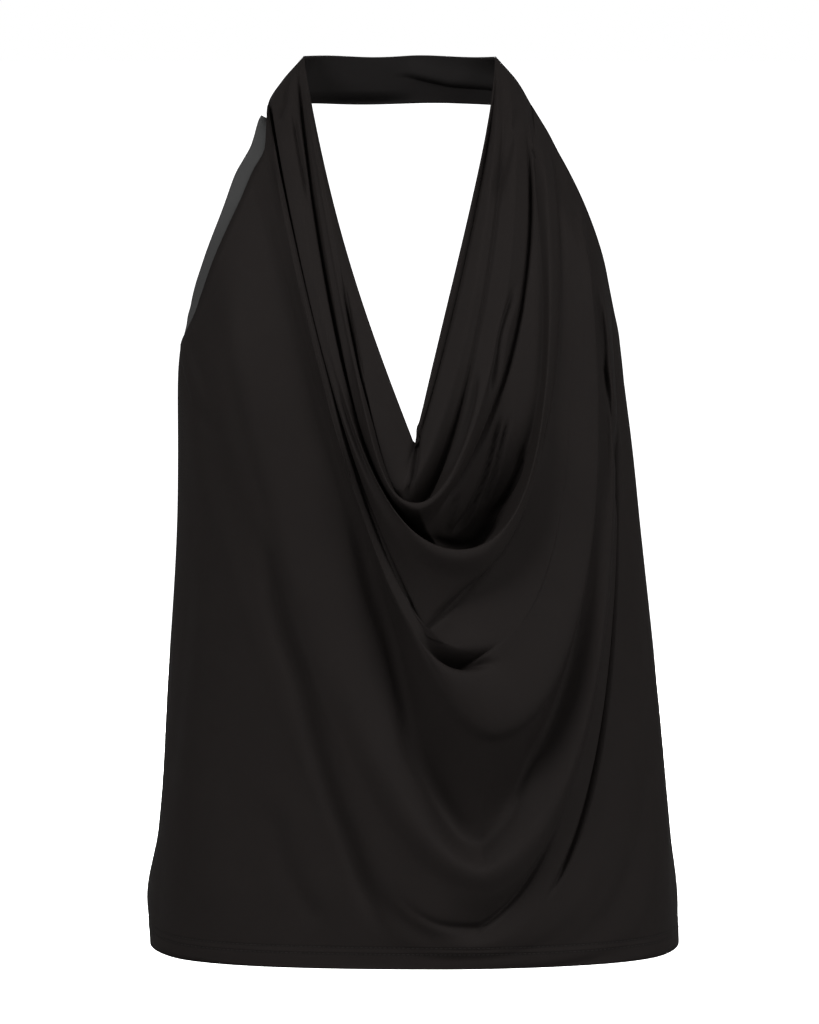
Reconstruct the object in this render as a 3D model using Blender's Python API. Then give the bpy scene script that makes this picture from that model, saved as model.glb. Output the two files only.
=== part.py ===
"""Halter neck top in draped jersey, filled out as if worn, with nobody inside.

The front is one bias-cut panel that hangs from the neck band in nested swags.  It is lofted
through a family of fold lines: each line leaves the band, the armhole or the side seam, hangs
down one arm, turns at its low point and climbs the other arm.  The low-backed panel, the neck
band and the two armhole facings follow the same figure.  Sizes are in millimetres and become
metres when a mesh is made.  Up is +Z, the front faces -Y, and the origin is on the neck band at
the nape.
"""
from collections import namedtuple

import bpy
import numpy as np

MM = 0.001

# Cloth and making
WALL = 1.1
BAND_WALL = 2.4
FACING_WALL = 1.2
SEAM_GAP = 0.3
FACING_GAP = 0.5
BAND_TOP = 17.0
BAND_FOOT = -17.0
FACING_WIDTH = 12.0

# Heights of the main points, measured up from the nape
ARMHOLE_TOP = -24.0
FACING_FOOT = -165.0
UNDERARM = -185.0
HEM = -605.0

# The back's scooped neckline dips this far below the underarms, and its cloth hangs in soft waves
BACK_NECK_DIP = 150.0
SCOOP_SHARPNESS = 1.4
WAVE_DEPTH = 3.5
WAVES_ROUND = 6
WAVE_START = 0.6

# A shallow slanting dent runs round the band: its depth, and its start, travel and width as shares
# of the band's height
DENT_DEPTH = 2.0
DENT_START = 0.15
DENT_TRAVEL = 0.6
DENT_WIDTH = 0.16

# The share of each arm over which a fold flattens into the panel's side
SIDE_FADE = 0.14

# The figure is a stack of rounded rings.  Roundness 2 is an ellipse and more is squarer.
ROUNDNESS = 2.8
Ring = namedtuple("Ring", "height half_width lean centre front back")
FIGURE = (
    Ring(17, 68, 0, -36, 24, 36),
    Ring(0, 83, 0, -42, 38, 42),
    Ring(-17, 93, 0, -48, 50, 48),
    Ring(-30, 106, 1, -55, 58, 52),
    Ring(-45, 119, 2, -61, 66, 58),
    Ring(-70, 136, 3, -72, 76, 66),
    Ring(-100, 147, 3, -82, 86, 76),
    Ring(-140, 151, 2, -88, 100, 88),
    Ring(-185, 153.8, 0.4, -90, 111, 98),
    Ring(-240, 158, 2.8, -90, 117, 101),
    Ring(-300, 161.6, 6, -90, 118, 99),
    Ring(-420, 172.2, 8.8, -90, 115, 98),
    Ring(-530, 181.4, 10.3, -90, 114, 106),
    Ring(-575, 188, 9, -90, 115, 109),
    Ring(-605, 186.5, 10.5, -90, 115, 111),
)

# Where the front panel is cut between the band and the underarm, and how far the left armhole
# facing stands out beyond it
Cut = namedtuple("Cut", "height left right facing")
CUTS = (
    Cut(17, -68, 68, 0),
    Cut(0, -83, 83, 0),
    Cut(-17, -93, 93, 0),
    Cut(-24, -93, 97, 4),
    Cut(-36, -93, 104, 9.5),
    Cut(-48, -94, 110, 13.5),
    Cut(-61, -101, 117, 13),
    Cut(-82, -110, 127, 12),
    Cut(-97, -117, 133, 11),
    Cut(-122, -128, 141, 12),
    Cut(-146, -136.5, 146, 13),
    Cut(-160, -141.5, 149, 12),
    Cut(-170, -146.5, 151.5, 10),
    Cut(-178, -150.8, 153.2, 7),
    Cut(-185, -153.4, 154.2, 3),
)

# One row for each ridge, valley or edge of the front, from the neckline out to the hem.  An end is
# the height at which the line meets the panel's side.  An arm runs from its end towards its
# corner, which is `rise` above the low point, and turns in to the low point more tightly as
# `turn` grows.  The outs are how far the cloth stands off the figure, `reach` is the share of an
# arm over which the low point's out fades into the arm's, and `crease` is how sharply the cloth
# bends along the line, from 0, round, to 1, a pressed edge.
Fold = namedtuple("Fold", "name left_end left_corner left_rise left_turn low_x low_z right_corner "
                          "right_rise right_turn right_end out_left out_low out_right reach crease")
FOLDS = (
    Fold("neckline edge", 17, -41, 130, 1.6, 10, -243, 66, 225, 3.0, 17, 6, 8, 7, 0.6, 0),
    Fold("neckline fold", 16.5, -34, 110, 1.5, 6, -258, 60, 126, 0.4, 16, 9, 9, 5, 0.4, 0),
    Fold("first swag", 16, -9, 0, 2.6, 1, -275, 61, 0, 0.45, 15, 11, 16, 10, 0.35, 0.3),
    Fold("first valley", 15.5, -12, 18, 1.1, 7, -294, 97, 20, 0.3, 13, 11, 6, 8, 0.3, 0.2),
    Fold("second swag", 15, -15, 0, 2.2, 12, -282, 118, 0, 0.4, 9, 11.5, 29, 12, 0.4, 0),
    Fold("second swag's roll", 14.5, -18, 3, 2.05, 13, -286, 121, 20, 0.44, 6, 10.5, 30, 10.5, 0.35, 0.1),
    Fold("second swag's underside", 14, -24, 12, 1.8, 18, -301, 126, 120, 0.7, 1, 9.5, 10, 6, 0.4, 0.2),
    Fold("inside of the pocket", 13, -26, 30, 1.8, 26, -316, 134, 84, 0.6, -5, 8, -4, 7, 0.4, 0),
    Fold("pocket floor", 12, -28, 24, 1.15, 37, -331, 109, 84, 1.8, -12, 6, -9, 8, 0.4, 0.2),
    Fold("third swag's rim", 4, -35, 0, 1.15, 41, -313, 119, 0, 1.0, -26, 9, 36, 15, 0.45, 0.2),
    Fold("third swag's roll", -4, -34, 0, 1.07, 41, -318, 132, 0, 0.8, -30, 8.5, 37.5, 13, 0.4, 0.15),
    Fold("third swag's face", -8, -33, 0, 1.0, 40, -334, 144, 0, 0.6, -34, 8, 30, 11, 0.5, 0),
    Fold("soft crease", -14, -38, 114, 1.8, 17, -371, 120, 96, 1.8, -42, 7, 22, 9, 0.32, 0),
    Fold("lip of the wedge", -17, -14, 0, 1.15, 44, -383, 135, 0, 1.0, -50, 9, 25, 10, 0.4, 0),
    Fold("wedge pocket", -20, -15, 0, 1.15, 39, -390, 139, 0, 1.0, -58, 9, 27, 10.5, 0.4, 0.1),
    Fold("fourth swag's rim", -27, -16, 0, 1.1, 46, -397, 143, 0, 1.1, -66, 9, 28, 11, 0.4, 0.1),
    Fold("fourth swag", -40, -5, 24, 1.3, 62, -436, 180, 0, 0.7, -74, 8, 31, 13, 0.4, 0),
    Fold("fourth swag's underside", -54, 11, 0, 1.6, 61, -448, 163, 0, 0.8, -84, 4, 24, 9, 0.35, 0),
    Fold("fourth valley", -66, 28, 0, 2.8, 56, -517, 172, 144, 1.0, -92, 0, 1, 11, 0.55, 0.2),
    Fold("fifth swag", -112, -42, 0, 0.7, 58, -535, 182, 42, 0.8, -108, 6, 21, 14, 0.6, 0),
    Fold("fifth swag's belly", -138, -28, 0, 1.3, 57, -551, 190, 12, 0.65, -118, 5.5, 17, 11, 0.6, 0),
    Fold("fifth valley", -165, -11, 0, 2.6, 54, -577, 184, 72, 0.72, -129, 5, 14, 6, 0.6, 0),
    Fold("sixth swag", UNDERARM, -37, 0, 1.5, 50, -588, 177, 0, 0.9, -142, 4.5, 10, 5, 0.6, 0),
    Fold("side fold", -260, -30, 0, 2.0, 45, -593, 186, 0, 1.3, UNDERARM, 4, 9, 4.5, 0.6, 0),
    Fold("side panel", -380, -60, 0, 1.6, 40, -598, 188, 0, 1.5, -310, 3.5, 7, 4, 0.6, 0),
    Fold("hem's upper edge", -520, -100, 0, 1.6, 36, -602, 188, 0, 1.8, -480, 3, 7, 4, 0.6, 0),
    Fold("hem", HEM, -60, 0, 1.0, 30, HEM, 100, 0, 1.0, HEM, 4, 7, 3, 0.6, 0),
)

# Short pockets: how much deeper a fold tucks in at its low point, how far it sags there, and over
# what share of each arm the tuck fades out
Tuck = namedtuple("Tuck", "fold depth sag left right")
TUCKS = (
    Tuck("wedge pocket", 18, 9, 0.085, 0.055),
    Tuck("fifth valley", 7, 0, 0.07, 0.22),
)

# How finely the solids are cut
ARM_COLUMNS = 22
ARM_SAMPLES = 400
FRONT_STEP = 15.0
LEAST_STEPS = 2
TURN_CROWDING = 1.35
SETTLING_COLUMNS = 3
BACK_COLUMNS = 30
BACK_ROWS = 16
BAND_COLUMNS = 26
BAND_ROWS = 5
LEAST_FORWARD = 0.3
EASING_ROUNDS = 12

JERSEY = ((0.012, 0.0105, 0.010, 1.0), 0.62)
BAND_JERSEY = ((0.010, 0.009, 0.0085, 1.0), 0.6)
FACING_JERSEY = ((0.045, 0.045, 0.045, 1.0), 0.75)


def clear_scene():
    for thing in list(bpy.data.objects):
        bpy.data.objects.remove(thing, do_unlink=True)


def smooth_read(rows, column, heights):
    """Reads one column of a table by height, on a smooth curve through its rows."""
    z = np.array([row.height for row in rows][::-1], dtype=float)
    v = np.array([getattr(row, column) for row in rows][::-1], dtype=float)
    slope = np.gradient(v, z)
    h = np.clip(np.asarray(heights, dtype=float), z[0], z[-1])
    i = np.clip(np.searchsorted(z, h) - 1, 0, len(z) - 2)
    span = z[i + 1] - z[i]
    t = (h - z[i]) / span
    rise = t * t * (3 - 2 * t)
    return (v[i] * (1 - rise) + v[i + 1] * rise
            + span * (slope[i] * t * (1 - t) ** 2 - slope[i + 1] * t * t * (1 - t)))


def smoothstep(t):
    t = np.clip(t, 0.0, 1.0)
    return t * t * (3 - 2 * t)


def edge_x(side, height):
    """Where the front panel's side lies: cut edge above the underarm, side seam below it."""
    seam = smooth_read(FIGURE, "lean", height) + side * smooth_read(FIGURE, "half_width", height)
    cut = smooth_read(CUTS, "left" if side < 0 else "right", height)
    return np.where(np.asarray(height) > UNDERARM, cut, seam)


def on_front(x, z, out):
    """Puts a point seen from the front onto the front half of the figure, `out` beyond it."""
    half = smooth_read(FIGURE, "half_width", z) + out
    across = np.clip(np.abs(x - smooth_read(FIGURE, "lean", z)) / half, 0.0, 1.0)
    depth = (smooth_read(FIGURE, "front", z) + out) * (1 - across ** ROUNDNESS) ** (1 / ROUNDNESS)
    return np.stack([x, smooth_read(FIGURE, "centre", z) - depth, z], axis=-1)


def arm_points(side, end, corner, rise, turn, low_x, low_z, out_arm, out_low, reach, tuck):
    """One arm of a fold line, densely, from its low point up to its end."""
    s = np.linspace(0.0, 1.0, ARM_SAMPLES)
    low_part, corner_part, end_part = (1 - s) ** 2, 2 * turn * s * (1 - s), s ** 2
    total = low_part + corner_part + end_part
    x = (low_part * low_x + corner_part * corner + end_part * float(edge_x(side, end))) / total
    z = (low_part * low_z + corner_part * (low_z + rise) + end_part * end) / total
    run = np.concatenate([[0], np.cumsum(np.hypot(np.diff(x), np.diff(z)))])
    run /= run[-1]
    out = out_low + (out_arm - out_low) * smoothstep(run / reach)
    tucked = 1 - smoothstep(run / (tuck.left if side < 0 else tuck.right))
    out -= tuck.depth * tucked
    z -= tuck.sag * tucked
    out *= smoothstep((1 - run) / SIDE_FADE)
    return on_front(x, z, out)


def read_along(points, fractions):
    """Points at given fractions of a line's length."""
    run = np.concatenate([[0], np.cumsum(np.linalg.norm(np.diff(points, axis=0), axis=1))])
    run /= run[-1]
    return np.stack([np.interp(fractions, run, points[:, k]) for k in range(3)], axis=-1)


def fold_line(fold, columns):
    """A whole fold line from its left end to its right end, closer together at the turn."""
    fractions = (np.arange(columns + 1) / columns) ** TURN_CROWDING
    tuck = ([tuck for tuck in TUCKS if tuck.fold == fold.name] + [Tuck("", 0, 0, 1, 1)])[0]
    left = arm_points(-1, fold.left_end, fold.left_corner, fold.left_rise, fold.left_turn,
                      fold.low_x, fold.low_z, fold.out_left, fold.out_low, fold.reach, tuck)
    right = arm_points(1, fold.right_end, fold.right_corner, fold.right_rise, fold.right_turn,
                       fold.low_x, fold.low_z, fold.out_right, fold.out_low, fold.reach, tuck)
    return np.concatenate([read_along(left, fractions)[::-1], read_along(right, fractions)[1:]])


def loft(lines, creases, step, least):
    """Runs the cloth from line to line, bending it sharply at creases and nowhere overshooting."""
    lines = [2 * lines[0] - lines[1]] + list(lines) + [2 * lines[-1] - lines[-2]]
    rows = []
    for k, (a, b, c, d) in enumerate(zip(lines, lines[1:], lines[2:], lines[3:])):
        gap_ab, gap_bc, gap_cd = [np.sqrt(np.linalg.norm(q - p, axis=1, keepdims=True)) + 1e-6
                                  for p, q in ((a, b), (b, c), (c, d))]
        tangent_b = (b - a) / gap_ab - (c - a) / (gap_ab + gap_bc) + (c - b) / gap_bc
        tangent_c = (c - b) / gap_bc - (d - b) / (gap_bc + gap_cd) + (d - c) / gap_cd
        tangent_b = tangent_b * gap_bc * (1 - creases[k])
        tangent_c = tangent_c * gap_bc * (1 - creases[k + 1])
        count = max(least, int(round(np.median(gap_bc ** 2) / step)))
        for t in np.arange(count) / count:
            rows.append((2 * t ** 3 - 3 * t ** 2 + 1) * b + (t ** 3 - 2 * t ** 2 + t) * tangent_b
                        + (3 * t ** 2 - 2 * t ** 3) * c + (t ** 3 - t ** 2) * tangent_c)
    rows.append(lines[-2])
    return np.array(rows)


def grid_normals(grid):
    across = np.gradient(grid, axis=1)
    down = np.gradient(grid, axis=0)
    normals = np.cross(down, across)
    return normals / np.linalg.norm(normals, axis=2, keepdims=True)


def pulled_together(inner, outer, axis):
    """Moves inner points to the middle of their neighbours where a bend has turned them round."""
    inner, outer = np.moveaxis(inner, axis, 0), np.moveaxis(outer, axis, 0)
    steps = np.diff(outer, axis=0)
    forward = np.sum(np.diff(inner, axis=0) * steps, axis=2) / np.sum(steps ** 2, axis=2)
    tight = np.zeros(outer.shape[:2], dtype=bool)
    tight[:-1] |= forward < LEAST_FORWARD
    tight[1:] |= forward < LEAST_FORWARD
    tight[[0, -1]] = False
    eased = inner.copy()
    eased[1:-1] = (inner[:-2] + inner[1:-1] + inner[2:]) / 3
    return np.moveaxis(np.where(tight[:, :, None], eased, inner), 0, axis)


def inner_face(outer, wall, seamed):
    """The wall's inner points.  Where a fold bends tighter than the wall is thick, they pull
    together behind the crest, so that the wall fills the fold and never crosses itself.  The
    rows that are `seamed` have square side edges, which lie flat against the next piece."""
    normals = grid_normals(outer)
    normals[1:-1] = normals[:-2] + 2 * normals[1:-1] + normals[2:]
    normals[:, 1:-1] = normals[:, :-2] + 2 * normals[:, 1:-1] + normals[:, 2:]
    inner = outer - normals / np.linalg.norm(normals, axis=2, keepdims=True) * wall
    for _ in range(EASING_ROUNDS):
        inner = pulled_together(inner, outer, 0)
        inner = pulled_together(inner, outer, 1)
    for side in (0, -1):
        inner[seamed, side, 1] = outer[seamed, side, 1]
    return inner


def cloth_material(name, look):
    colour, roughness = look
    material = bpy.data.materials.new(name)
    material.use_nodes = True
    surface = material.node_tree.nodes["Principled BSDF"]
    surface.inputs["Base Color"].default_value = colour
    surface.inputs["Roughness"].default_value = roughness
    surface.inputs["Metallic"].default_value = 0.0
    return material


def cloth_solid(name, grid, wall, look, seamed):
    """Closes a grid of outer points into a wall whose inner face lies `wall` further in."""
    outer = np.asarray(grid, dtype=float)
    inner = inner_face(outer, wall, seamed)
    rows, columns = outer.shape[:2]
    points = np.concatenate([outer.reshape(-1, 3), inner.reshape(-1, 3)]) * MM
    first_inner = rows * columns

    def at(row, column, layer=0):
        return layer * first_inner + row * columns + column

    faces = []
    for r in range(rows - 1):
        for c in range(columns - 1):
            faces.append((at(r, c), at(r + 1, c), at(r + 1, c + 1), at(r, c + 1)))
            faces.append((at(r, c, 1), at(r, c + 1, 1), at(r + 1, c + 1, 1), at(r + 1, c, 1)))
    border = [(0, c) for c in range(columns)]
    border += [(r, columns - 1) for r in range(1, rows)]
    border += [(rows - 1, c) for c in range(columns - 2, -1, -1)]
    border += [(r, 0) for r in range(rows - 2, 0, -1)]
    for here, there in zip(border, border[1:] + border[:1]):
        faces.append((at(*here), at(*there), at(*there, 1), at(*here, 1)))
    mesh = bpy.data.meshes.new(name)
    mesh.from_pydata(points.tolist(), [], faces)
    mesh.validate()
    mesh.shade_smooth()
    piece = bpy.data.objects.new(name, mesh)
    piece.data.materials.append(cloth_material(name + "_cloth", look))
    bpy.context.collection.objects.link(piece)
    return piece


def front_grid():
    """The outer points of the front, whose two side columns lie exactly on its cut edges."""
    lines = [fold_line(fold, ARM_COLUMNS) for fold in FOLDS]
    grid = loft(lines, [fold.crease for fold in FOLDS], FRONT_STEP, LEAST_STEPS)
    for column, side in ((0, -1), (-1, 1)):
        z = grid[:, column, 2]
        shift = on_front(edge_x(side, z), z, 0.0) - grid[:, column]
        for away in range(SETTLING_COLUMNS):
            grid[:, column - side * away] += shift * (1 - away / SETTLING_COLUMNS)
    return grid


def on_back(angle, z, out):
    """A point of the back half of the figure, from the right side (0) round to the left (pi)."""
    half = smooth_read(FIGURE, "half_width", z) + out
    depth = smooth_read(FIGURE, "back", z) + out
    power = 2 / ROUNDNESS
    x = half * np.sign(np.cos(angle)) * np.abs(np.cos(angle)) ** power
    y = depth * np.abs(np.sin(angle)) ** power
    return np.stack([smooth_read(FIGURE, "lean", z) + x,
                     smooth_read(FIGURE, "centre", z) + SEAM_GAP + y, z], axis=-1)


def back_panel():
    angle = np.linspace(0.0, np.pi, BACK_COLUMNS + 1)
    top = UNDERARM - BACK_NECK_DIP * np.sin(angle) ** SCOOP_SHARPNESS
    rows = []
    for share in np.linspace(0.0, 1.0, BACK_ROWS + 1):
        z = top + (HEM - top) * share
        waves = WAVE_DEPTH * np.sin(WAVES_ROUND * angle + WAVE_START) * np.sin(angle) * share
        rows.append(on_back(angle, z, waves))
    return cloth_solid("back_panel", np.array(rows), WALL, JERSEY, seamed=slice(None))


def neck_band():
    angle = np.linspace(0.0, np.pi, BAND_COLUMNS + 1)
    rows = []
    for share in np.linspace(0.0, 1.0, BAND_ROWS + 1):
        z = np.full_like(angle, BAND_TOP + (BAND_FOOT - BAND_TOP) * share)
        past_dent = share - DENT_START - DENT_TRAVEL * angle / np.pi
        dent = DENT_DEPTH * np.exp(-(past_dent / DENT_WIDTH) ** 2) * np.sin(angle)
        rows.append(on_back(angle, z, -dent))
    return cloth_solid("neck_band", np.array(rows), BAND_WALL, BAND_JERSEY, seamed=slice(None))


def armhole_rows(grid, column):
    """The rows of the front whose given side column lies along the armhole."""
    z = grid[:, column, 2]
    return (z < ARMHOLE_TOP) & (z > UNDERARM)


def rolled_facing(grid):
    """The left facing, which rolls out beyond the armhole's edge and shows there."""
    rows = armhole_rows(grid, 0)
    edge = grid[rows, 0]
    along = np.gradient(edge, axis=0)
    away = edge - grid[rows, 1]
    away -= along * (np.sum(away * along, axis=1) / np.sum(along ** 2, axis=1))[:, None]
    away /= np.linalg.norm(away, axis=1, keepdims=True)
    shown = smooth_read(CUTS, "facing", edge[:, 2])[:, None]
    strips = [edge + away * (FACING_GAP + shown * share) for share in (1.0, 0.5, 0.0)]
    return cloth_solid("armhole_facing_left", np.stack(strips, axis=1), FACING_WALL,
                       FACING_JERSEY, seamed=slice(0))


def turned_facing(grid):
    """The right facing, which lies turned in behind the panel."""
    rows = armhole_rows(grid, -1) & (grid[:, -1, 2] > FACING_FOOT)
    behind = (grid - grid_normals(grid) * (WALL + FACING_GAP))[rows]
    edge, inner = behind[:, -1], behind[:, -2]
    across = (inner - edge) / np.linalg.norm(inner - edge, axis=1, keepdims=True)
    strips = [edge + across * width for width in (FACING_WIDTH, FACING_WIDTH / 2, 0.5)]
    return cloth_solid("armhole_facing_right", np.stack(strips, axis=1), FACING_WALL,
                       FACING_JERSEY, seamed=slice(0))


clear_scene()
front = front_grid()
cloth_solid("front_panel", front, WALL, JERSEY, seamed=~armhole_rows(front, 0))
back_panel()
neck_band()
rolled_facing(front)
turned_facing(front)
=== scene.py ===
"""Halter neck top in near-black draped jersey, filled out as if worn, with nobody inside."""
import math
from collections import namedtuple

import bpy
import numpy as np
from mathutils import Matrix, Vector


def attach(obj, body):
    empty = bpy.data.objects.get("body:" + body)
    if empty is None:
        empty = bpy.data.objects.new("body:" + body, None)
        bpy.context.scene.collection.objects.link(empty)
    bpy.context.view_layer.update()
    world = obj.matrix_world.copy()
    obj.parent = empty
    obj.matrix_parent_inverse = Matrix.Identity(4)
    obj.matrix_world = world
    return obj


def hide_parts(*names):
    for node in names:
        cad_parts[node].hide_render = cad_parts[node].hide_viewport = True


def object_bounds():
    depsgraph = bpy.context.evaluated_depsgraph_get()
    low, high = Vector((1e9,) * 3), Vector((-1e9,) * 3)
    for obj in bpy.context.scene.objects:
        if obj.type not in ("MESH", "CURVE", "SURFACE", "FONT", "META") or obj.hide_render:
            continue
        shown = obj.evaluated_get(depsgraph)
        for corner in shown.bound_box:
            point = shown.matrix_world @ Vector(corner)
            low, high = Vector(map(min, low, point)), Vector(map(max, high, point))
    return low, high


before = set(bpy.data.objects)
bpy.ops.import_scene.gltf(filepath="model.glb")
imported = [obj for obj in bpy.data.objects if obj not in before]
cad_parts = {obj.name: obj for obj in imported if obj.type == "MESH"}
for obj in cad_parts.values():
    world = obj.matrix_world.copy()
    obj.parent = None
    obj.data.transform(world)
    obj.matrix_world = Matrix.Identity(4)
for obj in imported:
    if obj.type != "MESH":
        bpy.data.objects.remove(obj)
cad_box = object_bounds()

# ---------------------------------------------------------------------------------------------
# Front panel
# One bias-cut panel of fine viscose jersey, cut with a grown-on cowl and gathered at both upper
# corners into the neck band.  Its weight pulls it into nested swags round the deep V.
# ---------------------------------------------------------------------------------------------
# Sizes are in millimetres, from the middle of the neck band's height
MM = 0.001
WALL = 1.0
SEAM_OVERLAP = 0.1
UNDERARM = -185.0
ARMHOLE_TOP = -24.0
BAND_FOOT = -17.0
HEM = -605.0
HEM_ALLOWANCE = 13.0
HEM_LIFT = 0.45
HEM_STEP = 1.5

# The form that fills the top out is a stack of rounded rings.
ROUNDNESS = 2.8
Ring = namedtuple("Ring", "height half_width lean centre front back")
FIGURE = (
    Ring(17, 68, 0, -36, 24, 36),
    Ring(0, 83, 0, -42, 38, 42),
    Ring(-17, 93, 0, -48, 50, 48),
    Ring(-30, 106, 1, -55, 58, 52),
    Ring(-45, 119, 2, -61, 66, 58),
    Ring(-70, 136, 3, -72, 76, 66),
    Ring(-100, 147, 3, -82, 86, 76),
    Ring(-140, 151, 2, -88, 100, 88),
    Ring(-185, 153.8, 0.4, -90, 111, 98),
    Ring(-240, 158, 2.8, -90, 117, 101),
    Ring(-300, 161.6, 6, -90, 118, 99),
    Ring(-420, 172.2, 8.8, -90, 115, 98),
    Ring(-530, 181.4, 10.3, -90, 114, 106),
    Ring(-575, 188, 9, -90, 115, 109),
    Ring(-605, 186.5, 10.5, -90, 115, 111),
)

# Where the panel is cut between the band and the underarm, and how far the left armhole facing
# rolls out beyond it
Cut = namedtuple("Cut", "height left right facing")
CUTS = (
    Cut(17, -68, 68, 0),
    Cut(0, -83, 83, 0),
    Cut(-17, -93, 93, 0),
    Cut(-24, -93, 97, 4),
    Cut(-36, -93, 104, 9.5),
    Cut(-48, -94, 110, 13.5),
    Cut(-61, -101, 117, 13),
    Cut(-82, -110, 127, 12),
    Cut(-97, -117, 133, 11),
    Cut(-122, -128, 141, 12),
    Cut(-146, -136.5, 146, 13),
    Cut(-160, -141.5, 149, 12),
    Cut(-170, -146.5, 151.5, 10),
    Cut(-178, -150.8, 153.2, 6),
    Cut(-185, -153.4, 154.2, 0.5),
)

# One row for each ridge, valley or edge, from the neckline out to the hem: where each arm ends,
# where it turns, how far it stands off the figure, and how sharply the cloth bends along it
Fold = namedtuple("Fold", "name left_end left_corner left_rise left_turn low_x low_z right_corner "
                          "right_rise right_turn right_end out_left out_low out_right reach crease")
FOLDS = (
    Fold("neckline edge", 17, -41, 130, 1.6, 10, -243, 66, 225, 3.0, 17, 6, 8, 7, 0.6, 0),
    Fold("neckline fold", 16.5, -34, 110, 1.5, 6, -258, 60, 126, 0.4, 16, 9, 9, 5, 0.4, 0),
    Fold("first swag", 16, -9, 0, 2.6, 1, -275, 61, 0, 0.45, 15, 11, 16, 10, 0.35, 0.3),
    Fold("first valley", 15.5, -12, 18, 1.1, 7, -294, 97, 20, 0.3, 13, 11, 6, 8, 0.3, 0.2),
    Fold("second swag", 15, -15, 0, 2.2, 12, -282, 118, 0, 0.4, 9, 11.5, 29, 12, 0.4, 0),
    Fold("second swag's roll", 14.5, -18, 3, 2.05, 13, -286, 121, 20, 0.44, 6, 10.5, 30, 10.5, 0.35,
         0.1),
    Fold("second swag's underside", 14, -24, 12, 1.8, 18, -301, 126, 120, 0.7, 1, 9.5, 10, 6, 0.4, 0.2),
    Fold("inside of the pocket", 13, -26, 30, 1.8, 26, -316, 134, 84, 0.6, -5, 8, -4, 7, 0.4, 0),
    Fold("pocket floor", 12, -28, 24, 1.15, 37, -331, 109, 84, 1.8, -12, 6, -9, 8, 0.4, 0.2),
    Fold("third swag's rim", 4, -35, 0, 1.15, 41, -313, 119, 0, 1.0, -26, 9, 36, 15, 0.45, 0.2),
    Fold("third swag's roll", -4, -34, 0, 1.07, 41, -318, 132, 0, 0.8, -30, 8.5, 37.5, 13, 0.4, 0.15),
    Fold("third swag's face", -8, -33, 0, 1.0, 40, -334, 144, 0, 0.6, -34, 8, 30, 11, 0.5, 0),
    Fold("soft crease", -14, -38, 114, 1.8, 17, -371, 120, 96, 1.8, -42, 7, 22, 9, 0.32, 0),
    Fold("lip of the wedge", -17, -14, 0, 1.15, 44, -383, 135, 0, 1.0, -50, 9, 25, 10, 0.4, 0),
    Fold("wedge pocket", -20, -15, 0, 1.15, 39, -390, 139, 0, 1.0, -58, 9, 27, 10.5, 0.4, 0.1),
    Fold("fourth swag's rim", -27, -16, 0, 1.1, 46, -397, 143, 0, 1.1, -66, 9, 28, 11, 0.4, 0.1),
    Fold("fourth swag", -40, -5, 24, 1.3, 62, -436, 180, 0, 0.7, -74, 8, 31, 13, 0.4, 0),
    Fold("fourth swag's underside", -54, 11, 0, 1.6, 61, -448, 163, 0, 0.8, -84, 4, 24, 9, 0.35, 0),
    Fold("fourth valley", -66, 28, 0, 2.8, 56, -517, 172, 144, 1.0, -92, 0, 1, 11, 0.55, 0.2),
    Fold("fifth swag", -112, -42, 0, 0.7, 58, -535, 182, 42, 0.8, -108, 6, 21, 14, 0.6, 0),
    Fold("fifth swag's belly", -138, -28, 0, 1.3, 57, -551, 190, 12, 0.65, -118, 5.5, 17, 11, 0.6, 0),
    Fold("fifth valley", -165, -11, 0, 2.6, 54, -577, 184, 72, 0.72, -129, 5, 14, 6, 0.6, 0),
    Fold("sixth swag", UNDERARM, -37, 0, 1.5, 50, -588, 177, 0, 0.9, -142, 4.5, 10, 5, 0.6, 0),
    Fold("side fold", -260, -30, 0, 2.0, 45, -593, 186, 0, 1.3, UNDERARM, 4, 9, 4.5, 0.6, 0),
    Fold("side panel", -380, -60, 0, 1.6, 40, -598, 188, 0, 1.5, -310, 3.5, 7, 4, 0.6, 0),
    Fold("hem's upper edge", -520, -100, 0, 1.6, 36, -602, 188, 0, 1.8, -480, 3, 7, 4, 0.6, 0),
    Fold("hem", HEM, -60, 0, 1.0, 30, HEM, 100, 0, 1.0, HEM, 4, 7, 3, 0.6, 0),
)

# Short pockets: how much deeper a fold tucks in at its low point, how far it sags there, and over
# what share of each arm the tuck fades out
Tuck = namedtuple("Tuck", "fold depth sag left right")
TUCKS = (
    Tuck("wedge pocket", 18, 9, 0.085, 0.055),
    Tuck("fifth valley", 7, 0, 0.07, 0.22),
)

# Where the arms of two swags press together the cloth tucks into a narrow groove between them.
# Each row follows one fold, `aside` millimetres further out, on one side of the low point, from
# one share of the arm to another, counted from the low point.
Groove = namedtuple("Groove", "fold side aside start stop depth width")
GROOVES = (
    Groove("first valley", -1, 0.0, 0.02, 0.38, 5.0, 1.7),
    Groove("pocket floor", -1, 0.0, 0.03, 0.91, 4.5, 1.5),
    Groove("soft crease", -1, 0.0, 0.03, 0.97, 8.0, 1.5),
    Groove("neckline fold", 1, 0.0, 0.05, 0.75, 2.4, 2.0),
    Groove("first valley", 1, 0.0, 0.03, 0.24, 2.5, 1.6),
    Groove("first valley", 1, 0.0, 0.05, 0.75, 1.6, 1.3),
    Groove("second swag's underside", 1, 0.0, 0.06, 0.72, 5.0, 1.7),
    Groove("pocket floor", 1, 0.0, 0.05, 0.26, 3.5, 1.8),
    Groove("soft crease", 1, 0.0, 0.00, 0.24, 2.2, 2.2),
    Groove("fifth valley", -1, 0.0, 0.00, 0.07, 3.2, 3.0),
    Groove("fifth valley", 1, 0.0, 0.00, 0.16, 3.2, 3.0),
    Groove("sixth swag", 1, -1.5, 0.16, 0.88, 8.0, 1.9),
)

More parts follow.
